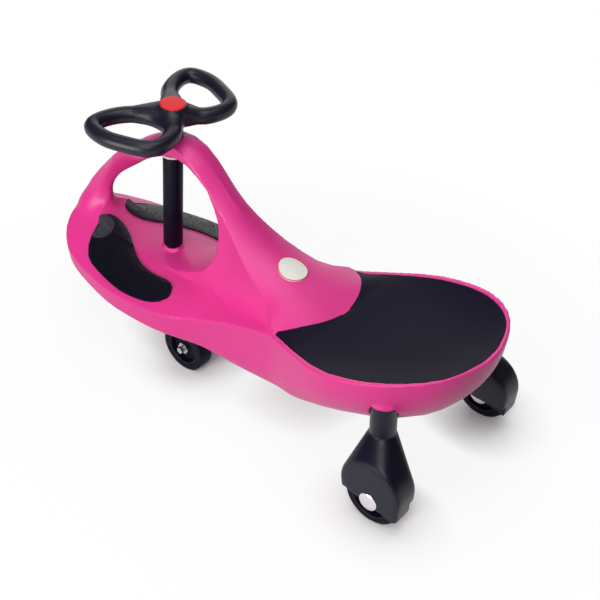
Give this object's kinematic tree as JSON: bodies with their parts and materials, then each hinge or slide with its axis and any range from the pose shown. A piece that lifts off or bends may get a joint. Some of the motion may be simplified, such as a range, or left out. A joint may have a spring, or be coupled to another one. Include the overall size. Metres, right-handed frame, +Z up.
{
  "type": "wiggle car",
  "caption": "Child's ride-on wiggle car: moulded body with a raked arch, dished seat, turning steering wheel on a column, trailing front truck and rear wheels in podded legs.",
  "frame": {"origin": "bottom centre of the whole part's bounding box, on the floor between the wheels", "axes": "+X forward from tail to nose, +Y to the rider's left, +Z up"},
  "size_m": [0.774, 0.3034, 0.4096],
  "materials": {
    "body": "smooth moulded plastic, satin gloss",
    "seat": "fine-grained soft plastic",
    "foot_grip": "finely textured rubber",
    "badge": "bare pale plate",
    "bush": "moulded nylon",
    "steel": "plated steel",
    "sleeve": "smooth extruded tube",
    "wheel_grip": "satin moulded plastic",
    "cap": "smooth moulded plastic",
    "truck": "moulded plastic",
    "hub": "moulded plastic",
    "tyre": "solid tyre",
    "leg": "satin moulded plastic",
    "axle_cap": "pressed push-on cap"
  },
  "bodies": {
    "chassis": {"body_shell": "body", "seat_pad": "seat", "left_foot_pad": "foot_grip", "right_foot_pad": "foot_grip", "badge_plate": "badge", "upper_bush": "bush", "lower_bush": "bush", "rear_left_leg": "leg", "rear_right_leg": "leg", "rear_left_axle": "steel", "rear_right_axle": "steel", "rear_outer_caps": "axle_cap", "rear_inner_caps": "axle_cap"},
    "steering": {"steering_shaft": "steel", "column_sleeve": "sleeve", "steering_wheel": "wheel_grip", "wheel_cap": "cap", "wheel_washer": "steel", "wheel_nut": "steel", "thrust_washer": "bush", "front_truck": "truck", "truck_washer": "steel", "truck_nut": "steel", "front_axle": "steel", "front_axle_washers": "steel", "front_axle_nuts": "steel"},
    "front_left_wheel": {"front_left_hub": "hub", "front_left_tyre": "tyre"},
    "front_right_wheel": {"front_right_hub": "hub", "front_right_tyre": "tyre"},
    "rear_left_wheel": {"rear_left_hub": "hub", "rear_left_tyre": "tyre"},
    "rear_right_wheel": {"rear_right_hub": "hub", "rear_right_tyre": "tyre"}
  },
  "joints": [
    {"name": "steer", "type": "hinge", "parent": "chassis", "child": "steering", "pos_m": [0.186, 0, 0.15233], "axis": [-0.0872, 0, 0.9962], "continuous": true},
    {"name": "front_left_spin", "type": "hinge", "parent": "steering", "child": "front_left_wheel", "pos_m": [0.10206, 0.064, 0.039], "axis": [0, 1, 0], "continuous": true},
    {"name": "front_right_spin", "type": "hinge", "parent": "steering", "child": "front_right_wheel", "pos_m": [0.10206, -0.064, 0.039], "axis": [0, 1, 0], "continuous": true},
    {"name": "rear_left_spin", "type": "hinge", "parent": "chassis", "child": "rear_left_wheel", "pos_m": [-0.307, 0.134, 0.043], "axis": [0, 1, 0], "continuous": true},
    {"name": "rear_right_spin", "type": "hinge", "parent": "chassis", "child": "rear_right_wheel", "pos_m": [-0.307, -0.134, 0.043], "axis": [0, 1, 0], "continuous": true}
  ]
}
